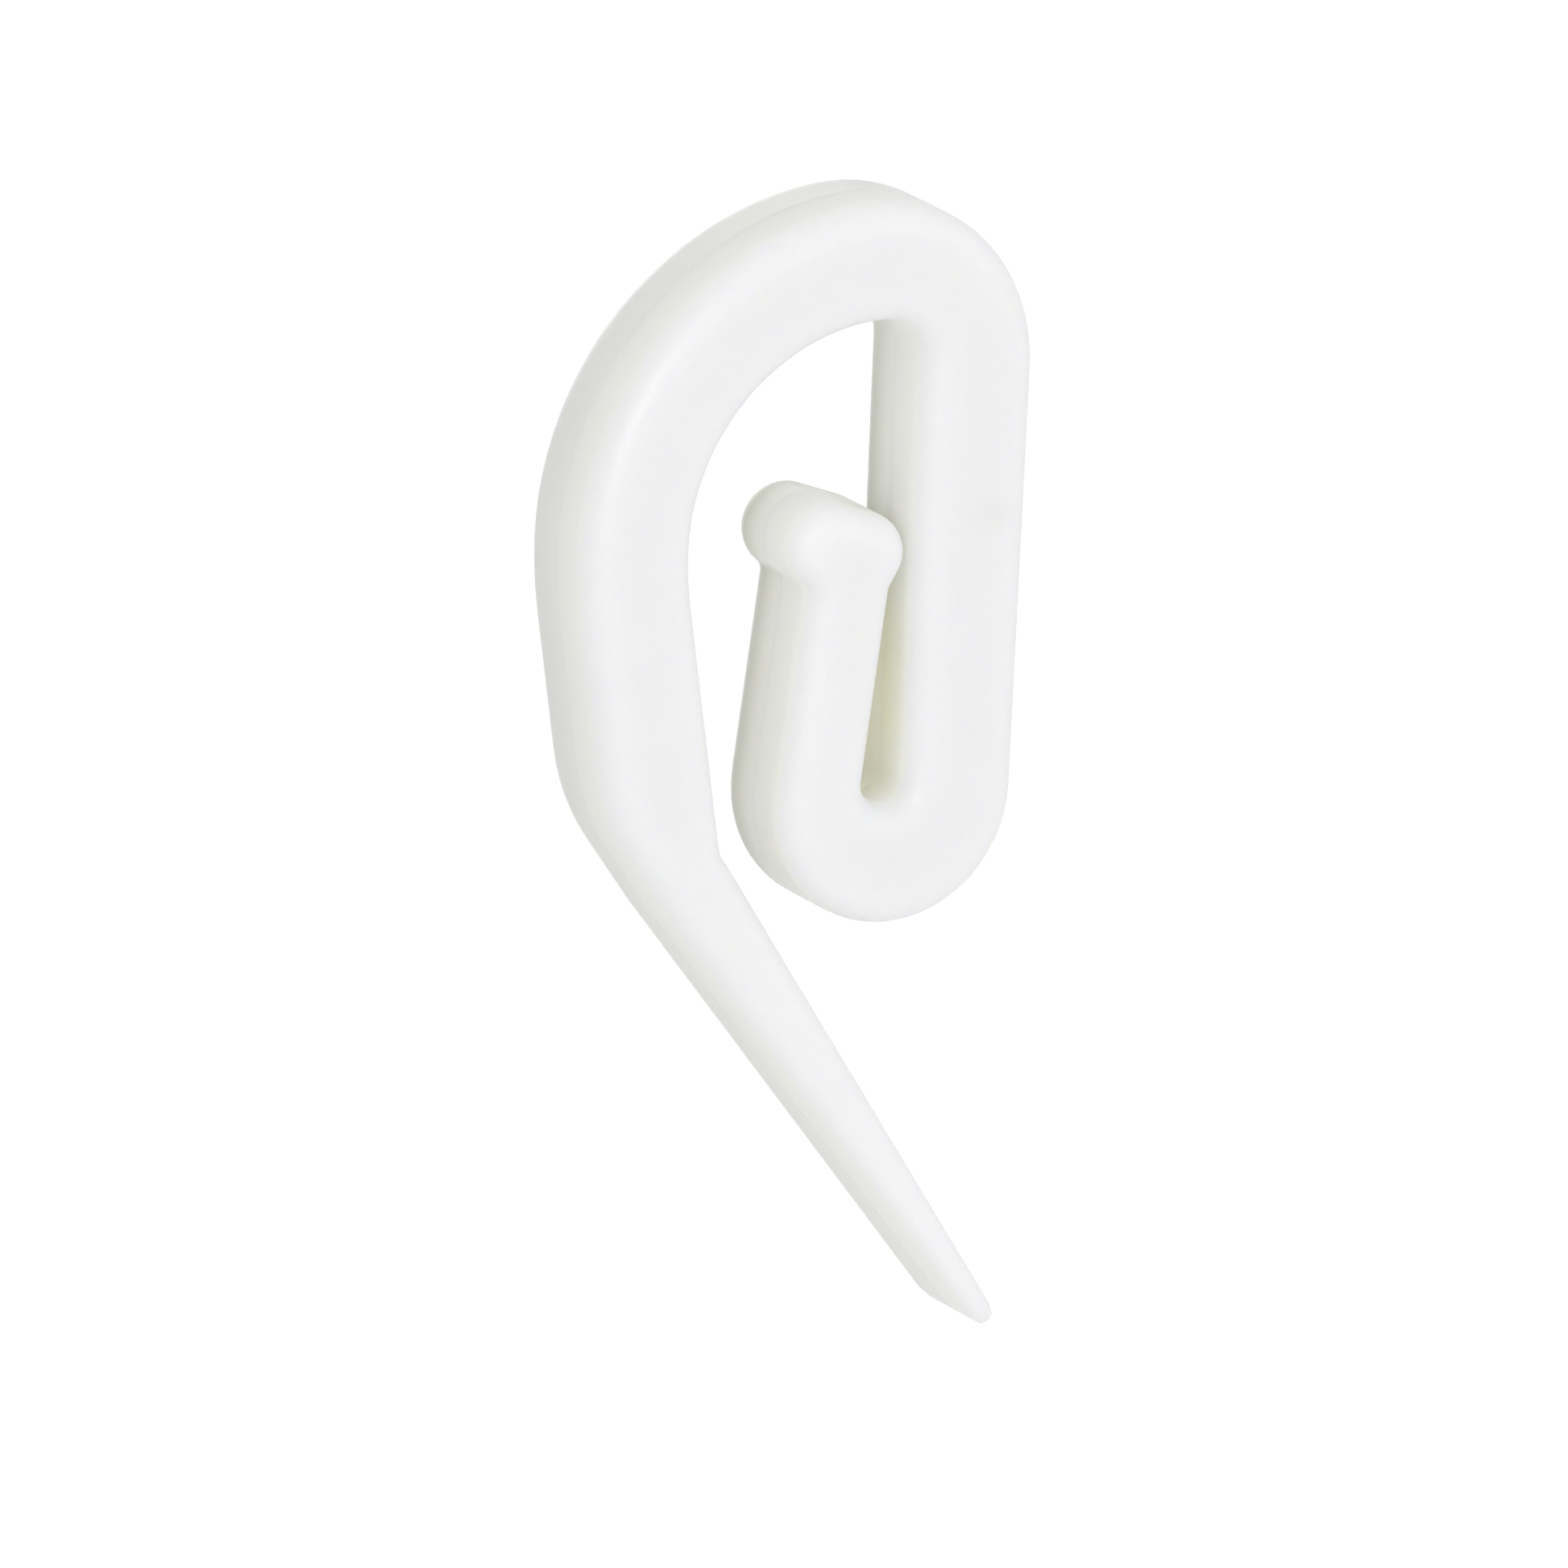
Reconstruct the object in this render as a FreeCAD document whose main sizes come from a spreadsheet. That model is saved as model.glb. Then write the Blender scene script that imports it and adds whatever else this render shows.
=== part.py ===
import FreeCAD, Part
import Sketcher
import os
from math import asin, atan2, cos, pi, radians, sin, sqrt, tan

# A plastic curtain hook, moulded as one piece.
#
# A flat bar runs from the tail up the arm, over the arch and down the stem, turns back up through
# the foot and ends in a springy tongue with a barbed head. The glider's eye hangs in the window's
# top corner, the seat. The pocket of the heading tape goes over the tongue into the slot behind it.
#
# X points from the arm to the stem, Y from the front face to the back, Z up.
# The origin is the top of the seat, at half depth.

SIZES = (
    # name, millimetres or degrees, what it measures
    ("depth", 3.63, "front face to back face"),
    ("bar_width", 3.38, "width of the bar in the arm and the arch"),
    ("stem_width", 3.49, "width of the bar at the top of the stem"),
    ("stem_lean", 0.6, "lean of the stem's outer wall, degrees from upright"),
    ("shoulder_radius", 5.01, "rounding outside between the arch and the stem"),
    ("edge_round", 0.8, "rounding of the edges round both faces"),
    ("seat_radius", 1.1, "corner between the arch and the stem, where the eye hangs"),
    ("arch_radius", 5.79, "inner radius of the arch"),
    ("bend_radius", 9.23, "inner radius where the arch runs into the arm"),
    ("arm_lean", 9.6, "lean of the straight arm, degrees from upright"),
    ("elbow_radius", 6.03, "rounding outside the elbow"),
    ("crook_radius", 1.17, "rounding inside the elbow"),
    ("mouth_gap", 1.32, "way in between the foot and the tail"),
    ("tail_lean", 35.9, "lean of the tail, degrees from upright"),
    ("root_width", 2.21, "width of the tail at its root"),
    ("root_length", 0.32, "even stretch of the tail below the elbow"),
    ("taper_length", 15.3, "straight tail from its root to where the tip rounds off"),
    ("tip_width", 0.65, "width of the tail where the tip rounds off"),
    ("tip_depth", 3.36, "depth of the tail where the tip rounds off"),
    ("tip_corner", 0.29, "corners of the tail's section where the tip rounds off"),
    ("tip_length", 0.96, "length of the rounded tip"),
    ("tip_bevel", 0.49, "how far the tip narrows, most of it on the outer side"),
    ("tip_side", 0.8, "how far the tip draws in from each face"),
    ("slot_drop", 13.55, "seat to the bottom of the slot"),
    ("slot_width", 1.26, "width of the slot at its bottom"),
    ("foot_thickness", 3.41, "wall below the slot"),
    ("tongue_lean", 6.5, "lean of the tongue towards the stem, degrees from upright"),
    ("tongue_width", 2.58, "width of the tongue"),
    ("nose_drop", 6.13, "seat to the middle of the head's nose"),
    ("nose_radius", 1.21, "radius of the nose"),
    ("nose_reach", 0.79, "how far the nose stands out of the tongue"),
    ("lip_slope", 56.0, "under side of the nose, degrees off the tongue's wall"),
    ("cheek_drop", 6.51, "seat to the middle of the head's cheek"),
    ("cheek_radius", 1.12, "radius of the cheek"),
    ("cheek_reach", 0.3, "how far the cheek stands into the slot"),
    ("cheek_slope", 25.0, "under side of the cheek, degrees off the tongue's wall"),
    ("neck_radius", 0.43, "hollow corners where the head meets the tongue"),
)
TAPER_SHARES = (0.0, 0.2, 0.4, 0.6, 0.8)  # places of the straight tail's sections, from root to tip
TIP_TURNS = (0.0, 27.0, 54.0, 81.0)       # places of the tip's sections, degrees round its end
INNER_SHARE = 0.25                        # part of the tip's narrowing that is on its inner side
START, END, CENTRE = range(1, 4)
ORIGIN = (-1, START)


def vector(point):
    """A sketch point as a vector."""
    return FreeCAD.Vector(point[0], point[1], 0)


def along(point, direction, distance):
    """The point a distance away from another in a direction."""
    return (point[0] + distance * direction[0], point[1] + distance * direction[1])


def crossing(point, direction, other_point, other_direction):
    """Where two lines meet, each given by a point and a direction."""
    gap = (other_point[0] - point[0], other_point[1] - point[1])
    turn = direction[0] * other_direction[1] - direction[1] * other_direction[0]
    distance = (gap[0] * other_direction[1] - gap[1] * other_direction[0]) / turn
    return along(point, direction, distance)


def angle_of(direction):
    """The angle of a direction from the sketch's horizontal axis."""
    return atan2(direction[1], direction[0])


class Outline:
    """A closed chain of lines and arcs in a sketch, each held to the next."""

    def __init__(self, sketch):
        self.sketch = sketch
        self.chain = []

    def line(self, start, end):
        """Add a line from start to end."""
        index = self.sketch.addGeometry(Part.LineSegment(vector(start), vector(end)), False)
        self.chain.append((index, START, END))
        return index

    def arc(self, centre, radius, start, end):
        """Add an arc from the angle start to the angle end; a falling angle runs clockwise."""
        circle = Part.Circle(vector(centre), FreeCAD.Vector(0, 0, 1), radius)
        index = self.sketch.addGeometry(Part.ArcOfCircle(circle, min(start, end), max(start, end)), False)
        self.chain.append((index, START, END) if end > start else (index, END, START))
        return index

    def point(self, place):
        """Add a helper point, which is no part of the outline."""
        return self.sketch.addGeometry(Part.Point(vector(place)), True)

    def join(self, corners=()):
        """Join each piece to the next: smoothly, or in a corner after the pieces named."""
        followers = self.chain[1:] + self.chain[:1]
        for (index, _, end), (follower, start, _) in zip(self.chain, followers):
            kind = "Coincident" if index in corners else "Tangent"
            self.hold(kind, index, end, follower, start)

    def hold(self, kind, *elements):
        """Add a constraint without a size."""
        return self.sketch.addConstraint(Sketcher.Constraint(kind, *elements))

    def size(self, name, expression, kind, *elements):
        """Add a named constraint whose size follows an expression over the sheet."""
        index = self.sketch.addConstraint(Sketcher.Constraint(kind, *elements))
        self.sketch.renameConstraint(index, name)
        self.sketch.setExpression("Constraints." + name, expression)

    def measure(self, name, kind, *elements):
        """Add a named size that is read from the outline and doesn't drive it."""
        index = self.sketch.addConstraint(Sketcher.Constraint(kind, *elements))
        self.sketch.setDriving(index, False)
        self.sketch.renameConstraint(index, name)


def origin_plane(body, role):
    """One of the body's own base planes."""
    return next(feature for feature in body.Origin.OriginFeatures if feature.Role == role)


def new_sketch(body, name, role):
    """An empty sketch on one of the body's base planes."""
    sketch = body.newObject("Sketcher::SketchObject", name)
    sketch.AttachmentSupport = [(origin_plane(body, role), "")]
    sketch.MapMode = "FlatFace"
    return sketch


def draw_hook(sketch, size):
    """Draw the hook's face: loop, elbow, foot, tongue and head, down to the tail's root."""
    outline = Outline(sketch)
    bar, stem, seat = size["bar_width"], size["stem_width"], size["seat_radius"]
    arch, bend = size["arch_radius"], size["bend_radius"]
    reach, shoulder_round = seat + stem, size["shoulder_radius"]
    elbow, crook, neck = size["elbow_radius"], size["crook_radius"], size["neck_radius"]
    nose, cheek, tongue = size["nose_radius"], size["cheek_radius"], size["tongue_width"]
    slot = size["slot_width"] / 2
    arm_lean, tail_lean = radians(size["arm_lean"]), radians(size["tail_lean"])
    tongue_lean, stem_lean = radians(size["tongue_lean"]), radians(size["stem_lean"])
    lip_slope, cheek_slope = radians(size["lip_slope"]), radians(size["cheek_slope"])

    # Directions: down the arm and the tail and across them, up the tongue and away from its slot.
    arm_down, arm_across = (sin(arm_lean), -cos(arm_lean)), (cos(arm_lean), sin(arm_lean))
    tail_down, tail_across = (sin(tail_lean), -cos(tail_lean)), (cos(tail_lean), sin(tail_lean))
    tongue_up, tongue_out = (sin(tongue_lean), cos(tongue_lean)), (-cos(tongue_lean), sin(tongue_lean))
    stem_out = (cos(stem_lean), -sin(stem_lean))

    # Shoulder. Its arc leaves the arch's outer arc smoothly and ends at the top of the stem's outer wall.
    shoulder_across = reach - shoulder_round * stem_out[0]
    shoulder_apart = arch + bar - shoulder_round
    shoulder_centre = (shoulder_across, sqrt(shoulder_apart ** 2 - shoulder_across ** 2) - arch)
    shoulder_angle = angle_of((shoulder_centre[0], shoulder_centre[1] + arch))
    stem_top = along(shoulder_centre, stem_out, shoulder_round)

    # Slot and foot. The foot's arc touches the stem, the tongue and the level of the sole.
    sole = -size["slot_drop"] - size["foot_thickness"]
    slot_centre = (seat - slot, slot - size["slot_drop"])
    to_stem = reach * stem_out[0] + (stem_top[1] - sole) * stem_out[1]
    to_tongue = slot + tongue + slot_centre[0] * tongue_out[0] + (slot_centre[1] - sole) * tongue_out[1]
    foot_turn = stem_out[0] * (1 + tongue_out[1]) - tongue_out[0] * (1 + stem_out[1])
    foot = (stem_out[0] * to_tongue - tongue_out[0] * to_stem) / foot_turn
    foot_centre = ((to_stem - foot * (1 + stem_out[1])) / stem_out[0], sole + foot)
    inner_foot = along(slot_centre, tongue_out, slot)
    outer_foot = along(foot_centre, tongue_out, foot)

    # Arch, arm and elbow. The tail's inner edge passes the foot at the mouth's gap.
    arch_centre, bend_centre = (0, -arch), (bend - arch, -arch)
    inner_arm = along(bend_centre, arm_across, -bend)
    outer_arm = along(bend_centre, arm_across, -bend - bar)
    inner_tail = along(foot_centre, tail_across, -foot - size["mouth_gap"])
    outer_tail = along(inner_tail, tail_across, -size["root_width"])
    half_turn = tan((tail_lean - arm_lean) / 2)
    crook_corner = crossing(inner_arm, arm_down, inner_tail, tail_down)
    elbow_corner = crossing(outer_arm, arm_down, outer_tail, tail_down)
    crook_start = along(crook_corner, arm_down, -crook * half_turn)
    crook_end = along(crook_corner, tail_down, crook * half_turn)
    elbow_start = along(elbow_corner, arm_down, -elbow * half_turn)
    elbow_end = along(elbow_corner, tail_down, elbow * half_turn)
    inner_root = along(crook_end, tail_down, size["root_length"])
    outer_root = along(inner_root, tail_across, -size["root_width"])
    root_middle = along(inner_root, tail_across, -size["root_width"] / 2)

    # Head: nose and cheek are circles beside the tongue's walls, joined by the crown's line.
    def beside_tongue(out, drop):
        level = along(inner_foot, tongue_out, out)
        return along(level, tongue_up, (-drop - level[1]) / cos(tongue_lean))

    nose_centre = beside_tongue(tongue + size["nose_reach"] - nose, size["nose_drop"])
    cheek_centre = beside_tongue(cheek - size["cheek_reach"], size["cheek_drop"])
    apart = (cheek_centre[0] - nose_centre[0], cheek_centre[1] - nose_centre[1])
    crown_angle = angle_of(apart) + pi / 2 - asin((nose - cheek) / sqrt(apart[0] ** 2 + apart[1] ** 2))
    crown_normal = (cos(crown_angle), sin(crown_angle))
    lip_angle = angle_of(tongue_out) + lip_slope
    lip_normal, lip_up = (cos(lip_angle), sin(lip_angle)), (sin(lip_angle), -cos(lip_angle))
    jaw_angle = angle_of(tongue_out) - pi - cheek_slope
    jaw_normal, jaw_up = (cos(jaw_angle), sin(jaw_angle)), (-sin(jaw_angle), cos(jaw_angle))
    lip_end = along(nose_centre, lip_normal, nose)
    jaw_start = along(cheek_centre, jaw_normal, cheek)
    lip_corner = crossing(lip_end, lip_up, outer_foot, tongue_up)
    jaw_corner = crossing(jaw_start, jaw_up, inner_foot, tongue_up)
    lip_neck, jaw_neck = neck * tan(lip_slope / 2), neck * tan(cheek_slope / 2)
    outer_neck = along(lip_corner, tongue_up, -lip_neck)
    inner_neck = along(jaw_corner, tongue_up, -jaw_neck)

    # The chain, from the seat round the window's side to the tail and back over the outside.
    inner_arch = outline.arc(arch_centre, arch, pi / 2, pi)
    inner_bend = outline.arc(bend_centre, bend, pi, pi + arm_lean)
    arm_inside = outline.line(inner_arm, crook_start)
    crook_arc = outline.arc(along(crook_start, arm_across, crook), crook, pi + arm_lean, pi + tail_lean)
    tail_inside = outline.line(crook_end, inner_root)
    root_end = outline.line(inner_root, outer_root)
    tail_outside = outline.line(outer_root, elbow_end)
    elbow_arc = outline.arc(along(elbow_start, arm_across, elbow), elbow, pi + tail_lean, pi + arm_lean)
    arm_outside = outline.line(elbow_start, outer_arm)
    outer_bend = outline.arc(bend_centre, bend + bar, pi + arm_lean, pi)
    outer_arch = outline.arc(arch_centre, arch + bar, pi, shoulder_angle)
    shoulder = outline.arc(shoulder_centre, shoulder_round, shoulder_angle, -stem_lean)
    stem_outside = outline.line(stem_top, along(foot_centre, stem_out, foot))
    foot_arc = outline.arc(foot_centre, foot, -stem_lean, -pi - tongue_lean)
    tongue_outside = outline.line(outer_foot, outer_neck)
    lip_hollow = outline.arc(along(outer_neck, tongue_out, neck), neck,
                             -tongue_lean, lip_slope - tongue_lean)
    lip = outline.line(along(lip_corner, lip_up, lip_neck), lip_end)
    nose_arc = outline.arc(nose_centre, nose, lip_angle, crown_angle)
    crown = outline.line(along(nose_centre, crown_normal, nose), along(cheek_centre, crown_normal, cheek))
    cheek_arc = outline.arc(cheek_centre, cheek, crown_angle, jaw_angle)
    jaw = outline.line(jaw_start, along(jaw_corner, jaw_up, jaw_neck))
    jaw_hollow = outline.arc(along(inner_neck, tongue_out, -neck), neck,
                             pi - tongue_lean - cheek_slope, pi - tongue_lean)
    tongue_inside = outline.line(inner_neck, inner_foot)
    slot_arc = outline.arc(slot_centre, slot, pi - tongue_lean, 2 * pi)
    stem_inside = outline.line((seat, slot_centre[1]), (seat, -seat))
    seat_arc = outline.arc((0, -seat), seat, 0, pi / 2)
    outline.join(corners=(tail_inside, root_end))

    # Loop: the seat's top is the origin, and the bar keeps its width round the arch and the bend.
    outline.hold("Coincident", inner_arch, START, *ORIGIN)
    outline.hold("Vertical", inner_arch, CENTRE, *ORIGIN)
    outline.hold("Horizontal", inner_arch, CENTRE, inner_arch, END)
    outline.hold("Coincident", outer_arch, CENTRE, inner_arch, CENTRE)
    outline.hold("Coincident", outer_bend, CENTRE, inner_bend, CENTRE)
    outline.hold("Vertical", stem_inside)
    outline.hold("Parallel", arm_inside, arm_outside)
    outline.size("seat_radius", "sizes.seat_radius", "Radius", seat_arc, seat)
    outline.size("arch_radius", "sizes.arch_radius", "Radius", inner_arch, arch)
    outline.size("bar_width", "sizes.arch_radius + sizes.bar_width", "Radius", outer_arch, arch + bar)
    outline.size("stem_width", "sizes.seat_radius + sizes.stem_width",
                 "DistanceX", *ORIGIN, stem_outside, START, reach)
    outline.size("stem_lean", "(-90 - sizes.stem_lean) * 1 deg", "Angle", stem_outside, -pi / 2 - stem_lean)
    outline.size("shoulder_radius", "sizes.shoulder_radius", "Radius", shoulder, shoulder_round)
    outline.size("bend_radius", "sizes.bend_radius", "Radius", inner_bend, bend)
    outline.size("arm_lean", "(sizes.arm_lean - 90) * 1 deg", "Angle", arm_inside, arm_lean - pi / 2)

    # Foot, slot and tongue.
    sole_point = outline.point((foot_centre[0], sole))
    outline.hold("PointOnObject", sole_point, START, foot_arc)
    outline.hold("Vertical", sole_point, START, foot_arc, CENTRE)
    outline.hold("Parallel", tongue_inside, tongue_outside)
    outline.size("sole_drop", "sizes.slot_drop + sizes.foot_thickness",
                 "DistanceY", sole_point, START, *ORIGIN, -sole)
    outline.size("slot_radius", "sizes.slot_width / 2", "Radius", slot_arc, slot)
    outline.size("slot_drop", "sizes.slot_drop - sizes.slot_width / 2",
                 "DistanceY", slot_arc, CENTRE, *ORIGIN, -slot_centre[1])
    outline.size("tongue_lean", "(90 - sizes.tongue_lean) * 1 deg",
                 "Angle", tongue_outside, pi / 2 - tongue_lean)
    outline.size("tongue_width", "sizes.tongue_width",
                 "Distance", tongue_outside, START, tongue_inside, tongue)

    # Elbow and tail's root.
    outline.hold("Parallel", tail_inside, tail_outside)
    outline.hold("Perpendicular", root_end, tail_inside)
    outline.size("elbow_radius", "sizes.elbow_radius", "Radius", elbow_arc, elbow)
    outline.size("crook_radius", "sizes.crook_radius", "Radius", crook_arc, crook)
    outline.size("tail_lean", "(sizes.tail_lean - 90) * 1 deg", "Angle", tail_inside, tail_lean - pi / 2)
    outline.size("root_width", "sizes.root_width", "Distance", root_end, size["root_width"])
    outline.size("root_length", "sizes.root_length", "Distance", tail_inside, size["root_length"])
    mouth_point = outline.point(along(foot_centre, tail_across, -foot))
    mouth_line = sketch.addGeometry(Part.LineSegment(vector(foot_centre), vector(inner_tail)), True)
    outline.hold("Coincident", mouth_line, START, foot_arc, CENTRE)
    outline.hold("Perpendicular", mouth_line, tail_inside)
    outline.hold("PointOnObject", mouth_line, END, tail_inside)
    outline.hold("PointOnObject", mouth_point, START, mouth_line)
    outline.hold("PointOnObject", mouth_point, START, foot_arc)
    outline.size("mouth_gap", "sizes.mouth_gap",
                 "Distance", mouth_point, START, mouth_line, END, size["mouth_gap"])

    # Head.
    nose_out, cheek_out = tongue + size["nose_reach"] - nose, cheek - size["cheek_reach"]
    outline.size("nose_radius", "sizes.nose_radius", "Radius", nose_arc, nose)
    outline.size("nose_out", "sizes.tongue_width + sizes.nose_reach - sizes.nose_radius",
                 "Distance", nose_arc, CENTRE, tongue_inside, nose_out)
    outline.size("nose_drop", "sizes.nose_drop",
                 "DistanceY", nose_arc, CENTRE, *ORIGIN, size["nose_drop"])
    outline.size("cheek_radius", "sizes.cheek_radius", "Radius", cheek_arc, cheek)
    outline.size("cheek_out", "sizes.cheek_radius - sizes.cheek_reach",
                 "Distance", cheek_arc, CENTRE, tongue_inside, cheek_out)
    outline.size("cheek_drop", "sizes.cheek_drop",
                 "DistanceY", cheek_arc, CENTRE, *ORIGIN, size["cheek_drop"])
    outline.size("lip_slope", "(90 - sizes.tongue_lean + sizes.lip_slope) * 1 deg",
                 "Angle", lip, pi / 2 - tongue_lean + lip_slope)
    outline.size("cheek_slope", "(-90 - sizes.tongue_lean - sizes.cheek_slope) * 1 deg",
                 "Angle", jaw, -pi / 2 - tongue_lean - cheek_slope)
    outline.size("lip_neck", "sizes.neck_radius", "Radius", lip_hollow, neck)
    outline.size("jaw_neck", "sizes.neck_radius", "Radius", jaw_hollow, neck)

    # Where the tail starts, for the tail's own sections.
    root_point = outline.point(root_middle)
    outline.hold("Symmetric", root_end, START, root_end, END, root_point, START)
    outline.measure("root_across", "DistanceX", root_point, START, *ORIGIN, -root_middle[0])
    outline.measure("root_drop", "DistanceY", root_point, START, *ORIGIN, -root_middle[1])
    return root_middle


def straight_section(size, part):
    """Measures of a section of the straight tail, a share of the way to its tip, with their rules."""
    def between(root, tip):
        value = size[root] + (size[tip] - size[root]) * part
        return value, "(sizes.%s + (sizes.%s - sizes.%s) * %g)" % (root, tip, root, part)

    return {
        "reach": (size["taper_length"] * part, "(sizes.taper_length * %g)" % part),
        "shift": (0.0, "0"),
        "width": between("root_width", "tip_width"),
        "depth": between("depth", "tip_depth"),
        "corner": between("edge_round", "tip_corner"),
    }


def tip_section(size, turn):
    """Measures of a section of the rounded tip, some degrees round its end, with their rules."""
    onward, inward = sin(radians(turn)), 1 - cos(radians(turn))
    onward_rule, inward_rule = "sin(%g deg)" % turn, "(1 - cos(%g deg))" % turn
    width = size["tip_width"] - size["tip_bevel"] * inward
    width_rule = "(sizes.tip_width - sizes.tip_bevel * %s)" % inward_rule
    inner = 0.5 - INNER_SHARE
    return {
        "reach": (size["taper_length"] + size["tip_length"] * onward,
                  "(sizes.taper_length + sizes.tip_length * %s)" % onward_rule),
        "shift": (size["tip_bevel"] * inward * inner,
                  "(sizes.tip_bevel * %s * %g)" % (inward_rule, inner)),
        "width": (width, width_rule),
        "depth": (size["tip_depth"] - 2 * size["tip_side"] * inward,
                  "(sizes.tip_depth - 2 * sizes.tip_side * %s)" % inward_rule),
        "corner": (size["tip_corner"] * width / size["tip_width"],
                   "(sizes.tip_corner * %s / sizes.tip_width)" % width_rule),
    }


def draw_section(sketch, section):
    """Draw a section of the tail: a rectangle with round corners about the sketch's origin."""
    outline = Outline(sketch)
    corner, corner_rule = section["corner"]
    half_width, half_width_rule = section["width"][0] / 2, section["width"][1] + " / 2"
    half_depth, half_depth_rule = section["depth"][0] / 2, section["depth"][1] + " / 2"
    flat_width, flat_depth = half_width - corner, half_depth - corner
    right = outline.line((half_width, -flat_depth), (half_width, flat_depth))
    outline.arc((flat_width, flat_depth), corner, 0, pi / 2)
    back = outline.line((flat_width, half_depth), (-flat_width, half_depth))
    outline.arc((-flat_width, flat_depth), corner, pi / 2, pi)
    left = outline.line((-half_width, flat_depth), (-half_width, -flat_depth))
    outline.arc((-flat_width, -flat_depth), corner, pi, 3 * pi / 2)
    front = outline.line((-flat_width, -half_depth), (flat_width, -half_depth))
    outline.arc((flat_width, -flat_depth), corner, 3 * pi / 2, 2 * pi)
    outline.join()
    for upright in (right, left):
        outline.hold("Vertical", upright)
    for level in (back, front):
        outline.hold("Horizontal", level)
    outline.size("right", half_width_rule, "DistanceX", *ORIGIN, right, START, half_width)
    outline.size("left", half_width_rule, "DistanceX", left, START, *ORIGIN, half_width)
    outline.size("back", half_depth_rule, "DistanceY", *ORIGIN, back, START, half_depth)
    outline.size("front", half_depth_rule, "DistanceY", front, START, *ORIGIN, half_depth)
    for name, arc in zip(("corner_a", "corner_b", "corner_c", "corner_d"), (1, 3, 5, 7)):
        outline.size(name, corner_rule, "Radius", arc, corner)


def place_section(sketch, section, size, root):
    """Set a section square across the tail, at its reach below the root and its shift across."""
    reach, reach_rule = section["reach"]
    shift, shift_rule = section["shift"]
    lean = radians(size["tail_lean"])
    down, across = FreeCAD.Vector(sin(lean), 0, -cos(lean)), FreeCAD.Vector(cos(lean), 0, sin(lean))
    tilt = FreeCAD.Rotation(FreeCAD.Vector(0, -1, 0), size["tail_lean"])
    sketch.AttachmentOffset = FreeCAD.Placement(root + down * reach + across * shift, tilt)
    lean_rule = "sizes.tail_lean * 1 deg"
    sketch.setExpression("AttachmentOffset.Rotation.Angle", lean_rule)
    sketch.setExpression("AttachmentOffset.Base.x", "(%s * sin(%s) + %s * cos(%s)) * 1 mm - %s" % (
        reach_rule, lean_rule, shift_rule, lean_rule, "face.Constraints.root_across"))
    sketch.setExpression("AttachmentOffset.Base.z", "(%s * sin(%s) - %s * cos(%s)) * 1 mm - %s" % (
        shift_rule, lean_rule, reach_rule, lean_rule, "face.Constraints.root_drop"))


def edges_where(shape, belongs):
    """Names of the shape's edges on which the test holds at both ends and in the middle."""
    names = []
    for number, edge in enumerate(shape.Edges, start=1):
        first, last = edge.ParameterRange
        places = [edge.valueAt(first + (last - first) * share) for share in (0.0, 0.5, 1.0)]
        if all(belongs(place) for place in places):
            names.append("Edge%d" % number)
    return names


def settle(doc):
    """Recompute the document and stop at anything that failed."""
    doc.recompute()
    failed = [item.Name for item in doc.Objects if {"Invalid", "Error"} & set(item.State)]
    if failed:
        raise RuntimeError("failed to build: " + ", ".join(failed))


def make_sheet(doc):
    """Put the driving sizes into a spreadsheet, one named cell each."""
    sheet = doc.addObject("Spreadsheet::Sheet", "sizes")
    for row, (name, value, meaning) in enumerate(SIZES, start=1):
        sheet.set("A%d" % row, meaning)
        sheet.set("B%d" % row, str(value))
        sheet.setAlias("B%d" % row, name)
    settle(doc)
    return sheet


def make_hook(doc, sheet):
    """Build the hook: its face drawn and padded, the edges rounded, then the tapering tail."""
    size = {name: float(sheet.get(name)) for name, _, _ in SIZES}
    body = doc.addObject("PartDesign::Body", "hook")
    body.Label = "curtain_hook"

    face = new_sketch(body, "face", "XZ_Plane")
    root_middle = draw_hook(face, size)
    moulding = body.newObject("PartDesign::Pad", "moulding")
    moulding.Profile = face
    moulding.SideType = "Symmetric"
    moulding.setExpression("Length", "sizes.depth")
    settle(doc)

    # Every edge of the two faces is rounded, except across the tail's root.
    half_depth = size["depth"] / 2
    lean = radians(size["tail_lean"])
    tail_down = FreeCAD.Vector(sin(lean), 0, -cos(lean))
    root = FreeCAD.Vector(root_middle[0], 0, root_middle[1])
    near = 1e-4

    def on_face(place):
        return abs(abs(place.y) - half_depth) < near

    def across_root(place):
        return abs((place - root).dot(tail_down)) < near

    crossing_names = set(edges_where(moulding.Shape, across_root))
    rounded = body.newObject("PartDesign::Fillet", "rounded_edges")
    face_names = edges_where(moulding.Shape, on_face)
    rounded.Base = (moulding, [name for name in face_names if name not in crossing_names])
    rounded.setExpression("Radius", "sizes.edge_round")
    settle(doc)

    # The tail tapers straight from the section that the rounded bar leaves at the root to where
    # the tip starts, and the tip is drawn smoothly round to its end.
    sections = [straight_section(size, part) for part in TAPER_SHARES]
    sections += [tip_section(size, turn) for turn in TIP_TURNS]
    sketches = []
    for number, section in enumerate(sections, start=1):
        sketch = new_sketch(body, "tail_section_%d" % number, "XY_Plane")
        draw_section(sketch, section)
        place_section(sketch, section, size, root)
        sketches.append(sketch)
    settle(doc)
    tip_start = len(TAPER_SHARES)
    tail = body.newObject("PartDesign::AdditiveLoft", "tail")
    tail.Profile = sketches[0]
    tail.Sections = sketches[1:tip_start + 1]
    tail.Ruled = True
    settle(doc)
    tip = body.newObject("PartDesign::AdditiveLoft", "tip")
    tip.Profile = sketches[tip_start]
    tip.Sections = sketches[tip_start + 1:]
    settle(doc)
    return body


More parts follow.
